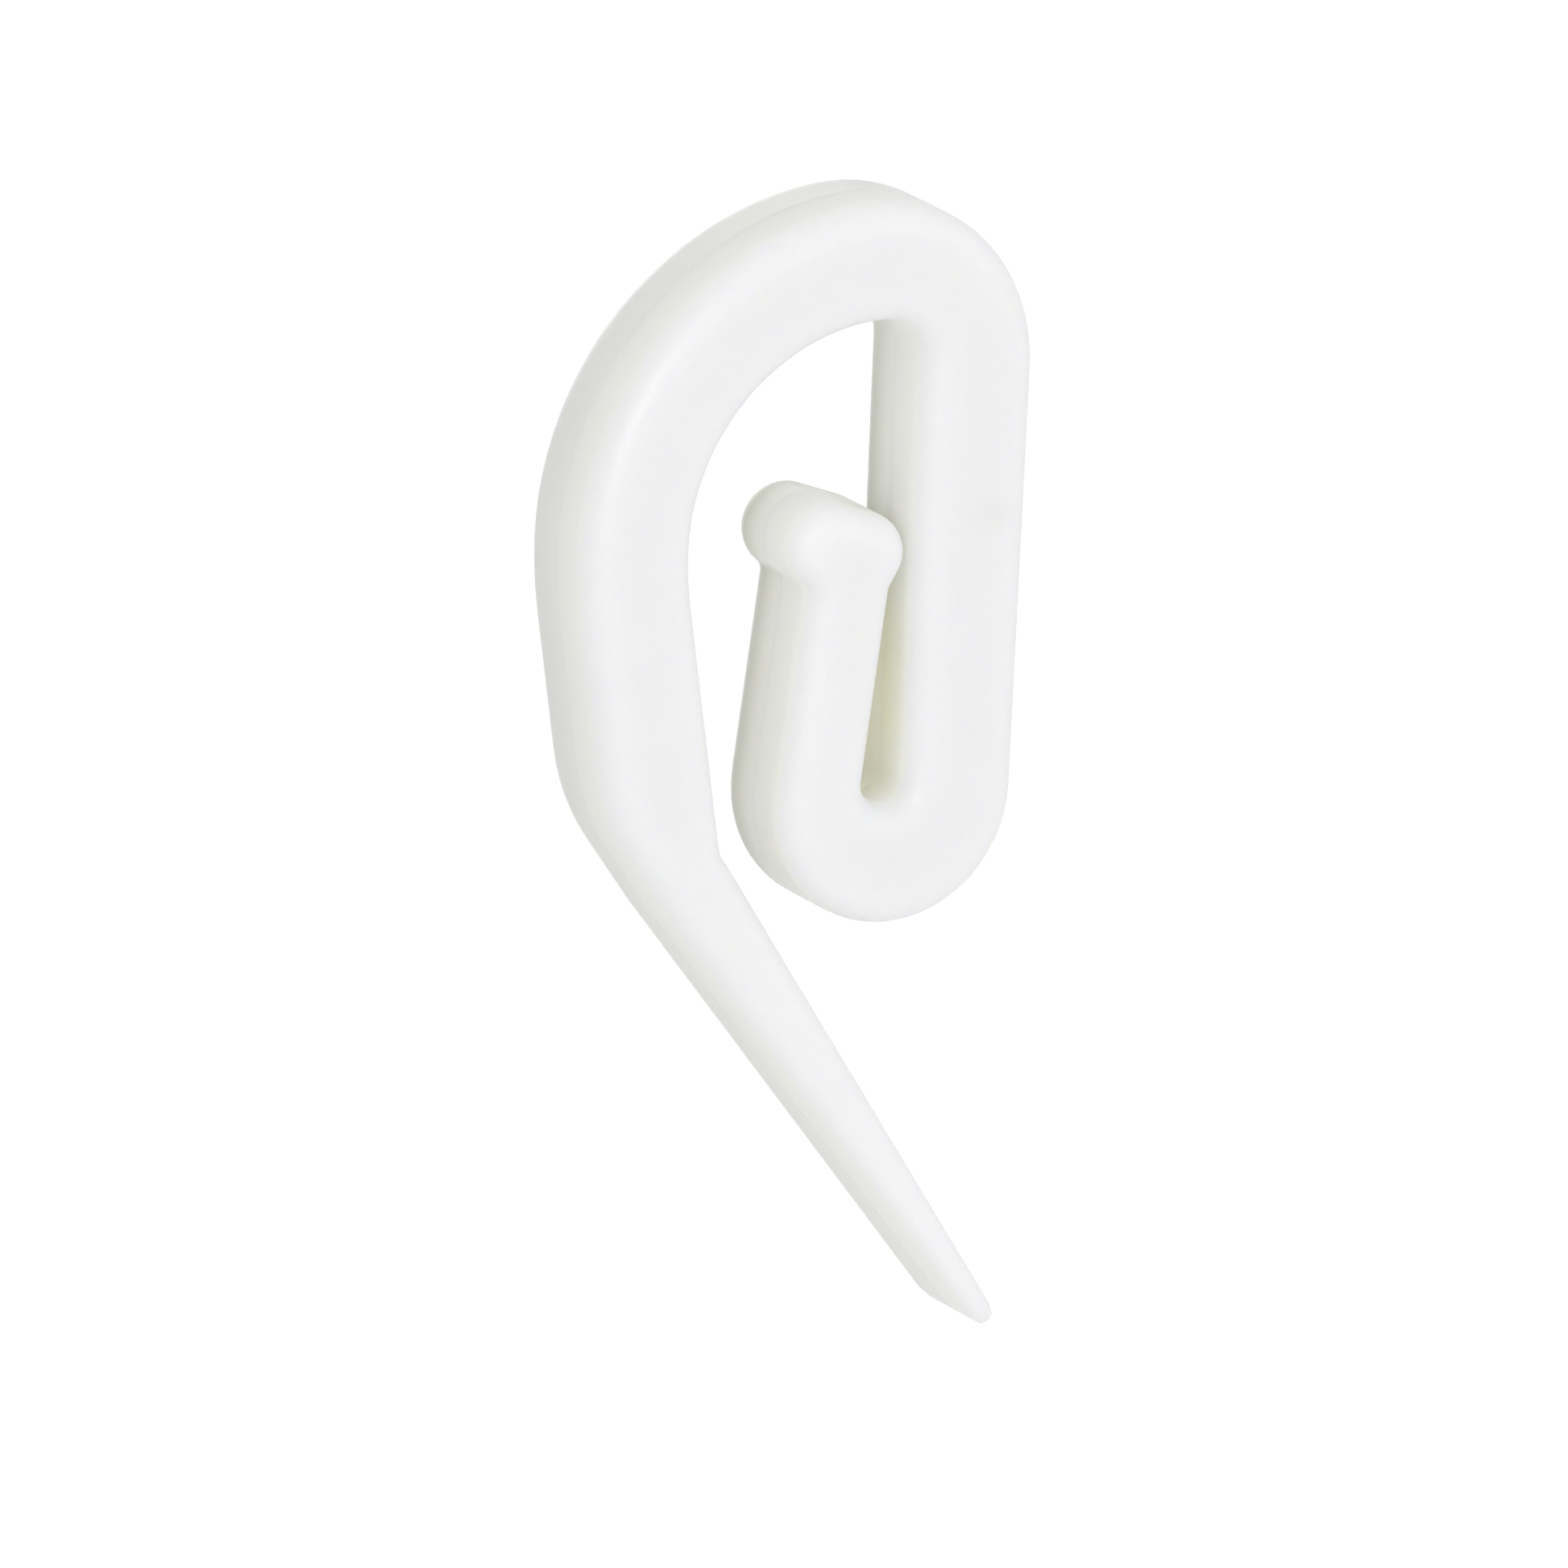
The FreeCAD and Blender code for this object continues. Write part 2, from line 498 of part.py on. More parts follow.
def main():
    """Build the hook and write its solid."""
    os.makedirs("parts", exist_ok=True)
    doc = FreeCAD.newDocument("curtain_hook")
    sheet = make_sheet(doc)
    body = make_hook(doc, sheet)
    if body.Shape.isNull() or not body.Shape.isValid() or len(body.Shape.Solids) != 1:
        raise RuntimeError("the hook is not one sound solid")
    body.Shape.exportStep("parts/%s.step" % body.Label)
    box = body.Shape.optimalBoundingBox()
    extent = (box.XLength, box.YLength, box.ZLength)
    print("%s: %.2f x %.2f x %.2f mm, %.1f mm3" % (body.Label, *extent, body.Shape.Volume))


main()
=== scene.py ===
import logging
import math
from dataclasses import dataclass, replace
from enum import Enum
from typing import Any, Sequence

import bmesh
import bpy
from mathutils import Matrix, Vector, noise
from mathutils.bvhtree import BVHTree


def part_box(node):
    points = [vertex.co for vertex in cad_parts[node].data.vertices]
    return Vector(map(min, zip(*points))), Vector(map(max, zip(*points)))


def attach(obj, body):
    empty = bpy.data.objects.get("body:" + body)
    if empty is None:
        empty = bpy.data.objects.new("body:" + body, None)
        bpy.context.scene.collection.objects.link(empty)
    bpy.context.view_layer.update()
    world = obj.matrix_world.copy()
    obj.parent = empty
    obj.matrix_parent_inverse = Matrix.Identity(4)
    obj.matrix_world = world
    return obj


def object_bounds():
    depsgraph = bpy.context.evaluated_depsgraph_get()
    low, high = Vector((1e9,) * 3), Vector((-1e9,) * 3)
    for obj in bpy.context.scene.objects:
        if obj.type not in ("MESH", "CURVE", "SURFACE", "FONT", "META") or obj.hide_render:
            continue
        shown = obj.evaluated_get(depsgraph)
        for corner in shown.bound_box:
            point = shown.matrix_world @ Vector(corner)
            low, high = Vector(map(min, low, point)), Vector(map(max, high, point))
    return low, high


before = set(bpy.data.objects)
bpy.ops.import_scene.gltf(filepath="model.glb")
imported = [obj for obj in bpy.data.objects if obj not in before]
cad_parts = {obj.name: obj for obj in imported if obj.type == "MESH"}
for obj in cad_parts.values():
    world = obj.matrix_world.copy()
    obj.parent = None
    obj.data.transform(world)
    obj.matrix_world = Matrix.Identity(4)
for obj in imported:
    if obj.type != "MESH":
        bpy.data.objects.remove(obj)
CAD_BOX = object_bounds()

LOG = logging.getLogger("curtain_hook")
MM = 0.001
OUTSIDE = 50 * MM
ROOT = "root"
NODE = "curtain_hook"

Colour = tuple[float, float, float, float]
Point = tuple[float, float, float]
Span = tuple[float, float]


class Face(Enum):
    """A side of the hook, by the direction it looks."""

    BACK = (0.0, 1.0, 0.0)
    STEM = (1.0, 0.0, 0.0)

    @property
    def normal(self) -> Vector:
        """The direction that the side looks."""
        return Vector(self.value)


class LampRole(Enum):
    """What a lamp does for the picture."""

    KEY = "key"
    TOP = "top"
    BACK = "back"
    FILL = "fill"


class Pattern(Enum):
    """A noise that varies the nylon, by its features per millimetre and its octaves."""

    GRAIN = (7.0, 3.0)
    CLOUD = (0.55, 4.0)
    SWELL = (0.22, 2.0)

    @property
    def per_mm(self) -> float:
        """Features per millimetre."""
        return self.value[0]

    @property
    def octaves(self) -> float:
        """Octaves of finer noise."""
        return self.value[1]


class NodeGraph:
    """Short calls for filling a node tree."""

    def __init__(self, tree: bpy.types.NodeTree) -> None:
        """Keep the tree and empty it.

        Args:
            tree: The shader or geometry tree to fill.
        """
        self.tree = tree
        self.tree.nodes.clear()

    def add(self, kind: str, inputs: dict[Any, Any] | None = None, **settings: Any) -> bpy.types.Node:
        """Add a node.

        Args:
            kind: Blender's name for the node type.
            inputs: Values by socket name or number; a socket as a value is linked.
            **settings: Properties of the node.

        Returns:
            The new node.
        """
        node = self.tree.nodes.new(kind)
        for name, value in settings.items():
            setattr(node, name, value)
        for socket, value in (inputs or {}).items():
            if isinstance(value, bpy.types.NodeSocket):
                self.tree.links.new(value, node.inputs[socket])
            else:
                node.inputs[socket].default_value = value
        return node

    def math(self, operation: str, first: Any, second: Any = 0.0) -> bpy.types.NodeSocket:
        """Add a Math node.

        Args:
            operation: The sum to do.
            first: First number or socket.
            second: Second number or socket.

        Returns:
            The answer's socket.
        """
        return self.add("ShaderNodeMath", {0: first, 1: second}, operation=operation).outputs[0]

    def ramp(self, value: Any, start: float, end: float,
             low: float = 0.0, high: float = 1.0) -> bpy.types.NodeSocket:
        """Add a smooth step from one number to another.

        Args:
            value: Number or socket to read.
            start: Reading at which the step starts.
            end: Reading at which the step ends.
            low: Answer at the start.
            high: Answer at the end.

        Returns:
            The answer's socket.
        """
        inputs = {"Value": value, "From Min": start, "From Max": end, "To Min": low, "To Max": high}
        return self.add("ShaderNodeMapRange", inputs, interpolation_type="SMOOTHSTEP").outputs["Result"]

    def blend(self, factor: Any, first: Any, second: Any) -> bpy.types.NodeSocket:
        """Mix two colours.

        Args:
            factor: Share of the second colour.
            first: First colour or socket.
            second: Second colour or socket.

        Returns:
            The mixed colour's socket.
        """
        node = self.add("ShaderNodeMix", {0: factor, 6: first, 7: second}, data_type="RGBA")
        return node.outputs[2]


@dataclass(frozen=True)
class Patch:
    """A soft round patch of the finish, placed in the hook's own frame in millimetres."""

    centre: Point
    reach: Point
    soft_from: float = 0.7
    soft_to: float = 1.2

    def mask(self, graph: NodeGraph, place: bpy.types.NodeSocket) -> bpy.types.NodeSocket:
        """Work out how much of the patch a point has.

        Args:
            graph: The shader tree to add to.
            place: Socket with the point in millimetres.

        Returns:
            A socket that is 1 inside the patch and 0 outside it.
        """
        inputs = {0: place, 1: self.centre}
        offset = graph.add("ShaderNodeVectorMath", inputs, operation="SUBTRACT").outputs[0]
        inputs = {0: offset, 1: tuple(1.0 / reach for reach in self.reach)}
        scaled = graph.add("ShaderNodeVectorMath", inputs, operation="MULTIPLY").outputs[0]
        length = graph.add("ShaderNodeVectorMath", {0: scaled}, operation="LENGTH").outputs["Value"]
        return graph.ramp(length, self.soft_from, self.soft_to, 1.0, 0.0)


@dataclass(frozen=True)
class NylonFinish:
    """White moulded nylon: satin, slightly translucent, with painted light and shade: walls lighter and
    yellower than the faces, inner walls lightened, and painted shade on the walls' back halves and in the
    slot.

    A wall is what looks across the depth: the share of a direction that may point along the depth is
    given by wall_turn. Depths are in millimetres from half depth, positive towards the back.
    """

    name: str
    face: Colour = (0.862, 0.865, 0.878, 1.0)
    # Painted light and shade: walls lighter than the faces to offset their shade, and yellower for the tint
    # of shade in the nylon.
    wall: Colour = (0.895, 0.900, 0.875, 1.0)
    # Painted light: inside walls lightened further against the shade that the hook casts on them.
    inner_wall_painted_light: Colour = (0.950, 0.955, 0.905, 1.0)
    # Painted shade on the back halves of the inside walls.
    painted_hollow_shade: Colour = (0.655, 0.660, 0.580, 1.0)
    # Painted shade: the yellow tint of shade in the slot.
    slot: Colour = (0.930, 0.920, 0.775, 1.0)
    smudge: Colour = (0.800, 0.800, 0.798, 1.0)
    smudge_share: float = 0.6
    wall_turn: Span = (0.05, 0.5)
    # Depth over which the inside walls' painted shade sets in.
    painted_hollow_shade_depth: Span = (0.2, 1.5)
    # Painted shade: walls darker towards the back over this depth, down to this level at the back.
    painted_back_shade_depth: Span = (-0.6, 1.6)
    painted_back_shade_level: float = 0.95
    draft: float = 0.20
    ridge_mm: float = 0.2
    cloud_depth: float = 0.010
    roughness: float = 0.36
    roughness_spread: float = 0.10
    grain_mm: float = 0.0020
    swell_mm: float = 0.020
    translucence: float = 0.85
    scatter_mm: float = 1.2
    # Where the inside walls take their painted light and painted shade.
    inside: Patch = Patch((-0.32, 0.0, -9.2), (4.0, 50.0, 9.8))
    # Where the slot's painted shade lies.
    painted_crevice_shade: Patch = Patch((0.75, 0.6, -10.8), (1.6, 1.8, 4.4), 0.4, 1.2)
    stain: Patch = Patch((3.28, -1.8, -5.61), (0.95, 0.8, 0.80), 0.0, 1.1)

    def noise(self, graph: NodeGraph, place: bpy.types.NodeSocket,
              pattern: Pattern) -> bpy.types.NodeSocket:
        """Add one of the nylon's noises.

        Args:
            graph: The shader tree to add to.
            place: Socket with the point in millimetres.
            pattern: Which noise.

        Returns:
            The noise's socket, from 0 to 1.
        """
        inputs = {"Vector": place, "Scale": pattern.per_mm, "Detail": pattern.octaves, "Roughness": 0.55}
        return graph.add("ShaderNodeTexNoise", inputs).outputs["Fac"]

    def colour(self, graph: NodeGraph, place: bpy.types.NodeSocket, normal: bpy.types.NodeSocket,
               cloud: bpy.types.NodeSocket) -> bpy.types.NodeSocket:
        """Build the colour: clear faces, walls painted lighter and yellower, painted shade in the slot and
        on the back halves of walls, and a faint smudge.

        Args:
            graph: The shader tree to add to.
            place: Socket with the point in millimetres.
            normal: Socket with the surface's direction in the hook's frame.
            cloud: Socket with the mottling's noise.

        Returns:
            The colour's socket.
        """
        across = graph.add("ShaderNodeSeparateXYZ", {0: normal}).outputs["Y"]
        depth = graph.add("ShaderNodeSeparateXYZ", {0: place}).outputs["Y"]
        wall = graph.ramp(graph.math("ABSOLUTE", across), *self.wall_turn, 1.0, 0.0)
        # Painted light: inside walls lightened against the shade on them.
        inside = graph.math("MULTIPLY", wall, self.inside.mask(graph, place))
        # Painted shade on the back halves of the inside walls.
        painted_hollow_shade = graph.math("MULTIPLY", inside, graph.ramp(depth, *self.painted_hollow_shade_depth))
        # Painted shade: the yellow tint of shade in the slot.
        painted_crevice_shade = graph.math("MULTIPLY", wall, self.painted_crevice_shade.mask(graph, place))
        stain = graph.math("MULTIPLY", self.stain.mask(graph, place), graph.ramp(cloud, 0.25, 0.6))
        # Painted light and shade: walls lighter and yellower than the faces.
        colour = graph.blend(wall, self.face, self.wall)
        colour = graph.blend(inside, colour, self.inner_wall_painted_light)
        colour = graph.blend(painted_hollow_shade, colour, self.painted_hollow_shade)
        colour = graph.blend(painted_crevice_shade, colour, self.slot)
        colour = graph.blend(graph.math("MULTIPLY", stain, self.smudge_share), colour, self.smudge)
        # Painted shade: walls darker towards the back.
        painted_back_shade = graph.ramp(depth, *self.painted_back_shade_depth, 0.0, 1.0 - self.painted_back_shade_level)
        level = graph.ramp(cloud, 0.2, 0.8, 1.0 - self.cloud_depth, 1.0 + self.cloud_depth / 2)
        level = graph.math("SUBTRACT", level, graph.math("MULTIPLY", wall, painted_back_shade))
        return graph.add("ShaderNodeVectorMath", {0: colour, "Scale": level}, operation="SCALE").outputs[0]

    def relief(self, graph: NodeGraph, place: bpy.types.NodeSocket) -> bpy.types.NodeSocket:
        """Build the bump: the mould's grain, the slow swell of a thick moulding and the walls' draft.

        Args:
            graph: The shader tree to add to.
            place: Socket with the point in millimetres.

        Returns:
            The bumped direction's socket.
        """
        grain = graph.math("MULTIPLY", self.noise(graph, place, Pattern.GRAIN), self.grain_mm)
        swell = graph.math("MULTIPLY", self.noise(graph, place, Pattern.SWELL), self.swell_mm)
        depth = graph.add("ShaderNodeSeparateXYZ", {0: place}).outputs["Y"]
        squared = graph.math("ADD", graph.math("MULTIPLY", depth, depth), self.ridge_mm ** 2)
        fall = graph.math("MULTIPLY", graph.math("SQRT", squared), self.draft)
        height = graph.math("SUBTRACT", graph.math("ADD", grain, swell), fall)
        inputs = {"Strength": 1.0, "Distance": MM, "Height": height}
        return graph.add("ShaderNodeBump", inputs).outputs["Normal"]

    def material(self) -> bpy.types.Material:
        """Build the finish's material.

        Returns:
            The material, with its node tree.
        """
        material = bpy.data.materials.new(self.name)
        material.use_nodes = True
        graph = NodeGraph(material.node_tree)
        coordinates = graph.add("ShaderNodeTexCoord")
        inputs = {"Vector": coordinates.outputs["Object"], "Scale": (1 / MM, 1 / MM, 1 / MM)}
        place = graph.add("ShaderNodeMapping", inputs).outputs["Vector"]
        cloud = self.noise(graph, place, Pattern.CLOUD)
        half = self.roughness_spread / 2
        shader = graph.add("ShaderNodeBsdfPrincipled", {
            "Base Color": self.colour(graph, place, coordinates.outputs["Normal"], cloud),
            "Roughness": graph.ramp(cloud, 0.25, 0.75, self.roughness - half, self.roughness + half),
            "Normal": self.relief(graph, place),
            "IOR": 1.5,
            "Subsurface Weight": self.translucence,
            "Subsurface Radius": (1.0, 0.95, 0.70),
            "Subsurface Scale": self.scatter_mm * MM,
        })
        graph.add("ShaderNodeOutputMaterial", {"Surface": shader.outputs["BSDF"]})
        return material


MOULDED = NylonFinish("white_nylon_moulded")
PRINTED = replace(MOULDED, name="white_nylon_marked",
                  face=(0.820, 0.823, 0.835, 1.0), translucence=0.0)
SHEARED = replace(PRINTED, name="white_nylon_sheared",
                  roughness=0.62, grain_mm=0.006, swell_mm=0.0)


def carry(piece: bpy.types.Object) -> bpy.types.Object:
    """Let a piece ride on the hook.

    Args:
        piece: A finished piece at the origin.

    Returns:
        The same piece.
    """
    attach(piece, ROOT)
    LOG.info("%s: %d faces", piece.name, len(piece.data.polygons))
    return piece


def new_object(name: str, mesh: bpy.types.Mesh) -> bpy.types.Object:
    """Put a mesh into the scene.

    Args:
        name: The object's name.
        mesh: The mesh, with its place in its points.

    Returns:
        The new object, at the origin.
    """
    piece = bpy.data.objects.new(name, mesh)
    bpy.context.scene.collection.objects.link(piece)
    return piece


def wall_at(face: Face, height_mm: float) -> float:
    """Find where the hook's wall lies on one side.

    Args:
        face: The side to look from.
        height_mm: The height to look at, at half depth.

    Returns:
        The wall's place across the hook, in metres.
    """
    form = bmesh.new()
    form.from_mesh(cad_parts[NODE].data)
    start = face.normal * OUTSIDE + Vector((0.0, 0.0, height_mm * MM))
    place = BVHTree.FromBMesh(form).ray_cast(start, -face.normal)[0]
    form.free()
    return place.x


@dataclass(frozen=True)
class TreeInput:
    """One named input of a geometry tree, with its kind and value."""

    name: str
    kind: str
    value: Any


def grow(piece: bpy.types.Object, tree: bpy.types.NodeTree,
         inputs: Sequence[TreeInput]) -> bpy.types.Object:
    """Run a geometry tree on a piece and keep the result as a plain mesh.

    Args:
        piece: The object that holds the tree's starting points or path.
        tree: The geometry tree.
        inputs: The values of its named inputs.

    Returns:
        The same object, with the grown mesh and no modifier.
    """
    modifier = piece.modifiers.new(tree.name, "NODES")
    modifier.node_group = tree
    sockets = {item.name: item.identifier for item in tree.interface.items_tree if item.in_out == "INPUT"}
    for entry in inputs:
        modifier[sockets[entry.name]] = entry.value
    evaluated = piece.evaluated_get(bpy.context.evaluated_depsgraph_get())
    mesh = bpy.data.meshes.new_from_object(evaluated)
    start = piece.data
    piece.modifiers.remove(modifier)
    piece.data = mesh
    mesh.name = piece.name
    bpy.data.meshes.remove(start)
    return piece


def geometry_tree(name: str, inputs: Sequence[TreeInput]) -> tuple[NodeGraph, bpy.types.Node]:
    """Start a geometry tree.

    Args:
        name: The tree's name.
        inputs: Its named inputs besides the geometry.

    Returns:
        The tree's graph and its input node.
    """
    tree = bpy.data.node_groups.new(name, "GeometryNodeTree")
    tree.interface.new_socket("Geometry", in_out="INPUT", socket_type="NodeSocketGeometry")
    for entry in inputs:
        tree.interface.new_socket(entry.name, in_out="INPUT", socket_type=entry.kind)
    tree.interface.new_socket("Geometry", in_out="OUTPUT", socket_type="NodeSocketGeometry")
    graph = NodeGraph(tree)
    return graph, graph.add("NodeGroupInput")


def end_tree(graph: NodeGraph, geometry: bpy.types.NodeSocket, material: bpy.types.NodeSocket) -> None:
    """End a geometry tree in realized instances with their material.

    Args:
        graph: The tree's graph.
        geometry: Socket with what the tree made.
        material: Socket with the material.
    """
    real = graph.add("GeometryNodeRealizeInstances", {"Geometry": geometry}).outputs["Geometry"]
    dressed = graph.add("GeometryNodeSetMaterial", {"Geometry": real, "Material": material})
    graph.add("NodeGroupOutput", {"Geometry": dressed.outputs["Geometry"]})


@dataclass
class HookMoulding:
    """The hook itself: the solid's own mesh, with the nylon's finish."""

    node: str = NODE
    finish: NylonFinish = MOULDED

    def dress(self) -> bpy.types.Object:
        """Give the hook its finish.

        Returns:
            The hook's object.
        """
        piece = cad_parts[self.node]
        material = self.finish.material()
        for place in piece.material_slots:
            place.material = material
        LOG.info("%s: %d faces, %s", self.node, len(piece.data.polygons), material.name)
        return piece


@dataclass
class PartingLine:
    """The fine bead round the walls at half depth where the mould's halves meet, and a nick across it."""

    name: str = "parting_line"
    bead_mm: float = 0.008
    step_mm: float = 0.16
    sides: int = 6
    nick_height_mm: float = -9.51
    nick_from_mm: float = -0.98
    nick_to_mm: float = -0.28
    nick_wall_mm: float = 1.10
    finish: NylonFinish = PRINTED

    def path(self) -> bpy.types.Mesh:
        """Cut the hook at half depth and add the nick on the stem's inner wall.

        Returns:
            A mesh of edges alone.
        """
        cut = bmesh.new()
        cut.from_mesh(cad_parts[NODE].data)
        bmesh.ops.remove_doubles(cut, verts=cut.verts, dist=1e-7)
        everything = cut.verts[:] + cut.edges[:] + cut.faces[:]
        plane = {"plane_co": (0, 0, 0), "plane_no": (0, 1, 0)}
        made = bmesh.ops.bisect_plane(cut, geom=everything, dist=1e-8, **plane)
        ring = {item for item in made["geom_cut"] if isinstance(item, bmesh.types.BMEdge)}
        bmesh.ops.delete(cut, geom=cut.faces[:], context="FACES_ONLY")
        bmesh.ops.delete(cut, geom=[edge for edge in cut.edges if edge not in ring], context="EDGES")
        bmesh.ops.delete(cut, geom=[point for point in cut.verts if not point.link_edges], context="VERTS")
        ends = [cut.verts.new((self.nick_wall_mm * MM, y * MM, self.nick_height_mm * MM))
                for y in (self.nick_from_mm, self.nick_to_mm)]
        cut.edges.new(ends)
        mesh = bpy.data.meshes.new(self.name + "_path")
        cut.to_mesh(mesh)
        cut.free()
        return mesh

    def tree(self, inputs: Sequence[TreeInput]) -> bpy.types.NodeTree:
        """Build the tree that lays a round bead along a path of edges.

        Args:
            inputs: The tree's named inputs.

        Returns:
            The tree.
        """
        graph, given = geometry_tree("bead_along_path", inputs)
        curve = graph.add("GeometryNodeMeshToCurve", {"Mesh": given.outputs["Geometry"]}).outputs["Curve"]
        spacing = {"Curve": curve, "Length": given.outputs["Step"]}
        even = graph.add("GeometryNodeResampleCurve", spacing, mode="LENGTH")
        profile = graph.add("GeometryNodeCurvePrimitiveCircle",
                            {"Resolution": given.outputs["Sides"], "Radius": given.outputs["Bead Radius"]})
        bead = graph.add("GeometryNodeCurveToMesh", {
            "Curve": even.outputs["Curve"],
            "Profile Curve": profile.outputs["Curve"],
            "Fill Caps": True,
        })
        smooth = graph.add("GeometryNodeSetShadeSmooth", {"Geometry": bead.outputs["Mesh"]})
        end_tree(graph, smooth.outputs["Geometry"], given.outputs["Material"])
        return graph.tree

    def build(self) -> bpy.types.Object:
        """Lay the bead.

        Returns:
            The finished piece.
        """
        inputs = (
            TreeInput("Bead Radius", "NodeSocketFloat", self.bead_mm * MM),
            TreeInput("Step", "NodeSocketFloat", self.step_mm * MM),
            TreeInput("Sides", "NodeSocketInt", self.sides),
            TreeInput("Material", "NodeSocketMaterial", self.finish.material()),
        )
        piece = grow(new_object(self.name, self.path()), self.tree(inputs), inputs)
        return carry(piece)


@dataclass
class EjectorMarks:
    """The round marks that the mould's pins leave on the back face."""

    name: str = "ejector_marks"
    face: Face = Face.BACK
    places_mm: tuple[Span, ...] = ((-5.29, -0.50), (2.75, -5.0), (-6.89, -10.2), (2.62, -13.0))
    radius_mm: float = 0.62
    top_share: float = 0.96
    proud_mm: float = 0.012
    sunk_mm: float = 0.020
    rim_mm: float = 0.016
    rim_sides: int = 6
    sides: int = 40
    finish: NylonFinish = PRINTED

    def points(self) -> bpy.types.Mesh:
        """Place one point for each pin on the face.

        Returns:
            A mesh of points alone.
        """
        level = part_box(NODE)[1].y
        mesh = bpy.data.meshes.new(self.name + "_points")
        mesh.from_pydata([(x * MM, level, z * MM) for x, z in self.places_mm], [], [])
        return mesh

    def tree(self, inputs: Sequence[TreeInput]) -> bpy.types.NodeTree:
        """Build the tree that sets a low disc with a fine rim on each point.

        Args:
            inputs: The tree's named inputs.

        Returns:
            The tree.
        """
        graph, given = geometry_tree("pin_marks", inputs)
        radius = given.outputs["Radius"]
        disc = graph.add("GeometryNodeMeshCone", {
            "Vertices": self.sides,
            "Radius Top": graph.math("MULTIPLY", radius, self.top_share),
            "Radius Bottom": radius,
            "Depth": graph.math("ADD", given.outputs["Proud"], given.outputs["Sunk"]),
        }, fill_type="NGON")
        drop = graph.add("ShaderNodeCombineXYZ", {"Z": graph.math("MULTIPLY", given.outputs["Sunk"], -1.0)})
        lowered = {"Geometry": disc.outputs["Mesh"], "Translation": drop.outputs["Vector"]}
        low = graph.add("GeometryNodeTransform", lowered).outputs["Geometry"]
        circle = graph.add("GeometryNodeCurvePrimitiveCircle", {"Resolution": self.sides, "Radius": radius})
        wire = graph.add("GeometryNodeCurvePrimitiveCircle",
                         {"Resolution": self.rim_sides, "Radius": given.outputs["Rim"]})
        rim = graph.add("GeometryNodeCurveToMesh",
                        {"Curve": circle.outputs["Curve"], "Profile Curve": wire.outputs["Curve"]})
        smooth = graph.add("GeometryNodeSetShadeSmooth", {"Geometry": rim.outputs["Mesh"]})
        mark = graph.add("GeometryNodeJoinGeometry")
        for part in (low, smooth.outputs["Geometry"]):
            graph.tree.links.new(part, mark.inputs["Geometry"])
        turn = self.face.normal.to_track_quat("Z", "Y").to_euler()
        marks = graph.add("GeometryNodeInstanceOnPoints", {
            "Points": given.outputs["Geometry"],
            "Instance": mark.outputs["Geometry"],
            "Rotation": turn,
        })
        end_tree(graph, marks.outputs["Instances"], given.outputs["Material"])
        return graph.tree

    def build(self) -> bpy.types.Object:
        """Set the marks.

        Returns:
            The finished piece.
        """
        inputs = (
            TreeInput("Radius", "NodeSocketFloat", self.radius_mm * MM),
            TreeInput("Proud", "NodeSocketFloat", self.proud_mm * MM),
            TreeInput("Sunk", "NodeSocketFloat", self.sunk_mm * MM),
            TreeInput("Rim", "NodeSocketFloat", self.rim_mm * MM),
            TreeInput("Material", "NodeSocketMaterial", self.finish.material()),
        )
        piece = grow(new_object(self.name, self.points()), self.tree(inputs), inputs)
        return carry(piece)


@dataclass
class GateMark:
    """The stub on the stem's outer wall where the sprue was sheared off."""

    name: str = "gate_mark"
    face: Face = Face.STEM
    height_mm: float = -9.0
    long_mm: float = 1.10
    wide_mm: float = 0.62
    proud_mm: float = 0.07
    sunk_mm: float = 0.10
    torn_mm: float = 0.035
    torn_places: Point = (2.3, 3.1, 0.7)
    edge_power: int = 6
    edge_drop: float = 0.5
    taper: float = 0.08
    cuts: int = 9
    finish: NylonFinish = SHEARED

    def build(self) -> bpy.types.Object:
        """Build the torn stub from a finely cut block with rounded edges.

        Returns:
            The finished piece.
        """
        wall = wall_at(self.face, self.height_mm)
        form = bmesh.new()
        bmesh.ops.create_cube(form, size=1.0)
        bmesh.ops.subdivide_edges(form, edges=form.edges[:], cuts=self.cuts, use_grid_fill=True)
        across_scale, up_scale, level = self.torn_places
        for point in form.verts:
            across, up = point.co.y * 2, point.co.z * 2
            crown = 1.0 - self.edge_drop * (abs(across) ** self.edge_power + abs(up) ** self.edge_power)
            torn = noise.noise(Vector((across * across_scale, up * up_scale, level))) * self.torn_mm
            out = point.co.x + 0.5
            taper = 1.0 - self.taper * out
            reach = -self.sunk_mm + out * (self.sunk_mm + self.proud_mm * crown + torn)
            point.co = Vector((
                wall + reach * MM,
                point.co.y * self.wide_mm * taper * MM,
                (self.height_mm + point.co.z * self.long_mm * taper) * MM,
            ))
        bmesh.ops.recalc_face_normals(form, faces=form.faces[:])
        for side in form.faces:
            side.smooth = True
        mesh = bpy.data.meshes.new(self.name)
        form.to_mesh(mesh)
        form.free()
        mesh.materials.append(self.finish.material())
        return carry(new_object(self.name, mesh))


@dataclass(frozen=True)
class Lamp:
    """A large soft lamp that shines at the hook."""

    role: LampRole
    place: Point
    size: float
    level: float

    def build(self, target: Vector) -> bpy.types.Object:
        """Set the lamp up.

        Args:
            target: The point it shines at.

        Returns:
            The lamp's object.
        """
        light = bpy.data.lights.new("lamp_" + self.role.value, "AREA")
        light.shape = "DISK"
        light.size = self.size
        lamp = bpy.data.objects.new(light.name, light)
        aim = target - Vector(self.place)
        light.energy = self.level * math.pi ** 2 * aim.length_squared
        lamp.location = self.place
        lamp.rotation_mode = "QUATERNION"
        lamp.rotation_quaternion = aim.to_track_quat("-Z", "Y")
        bpy.context.scene.collection.objects.link(lamp)
        LOG.info("%s: level %.2f", lamp.name, self.level)
        return lamp


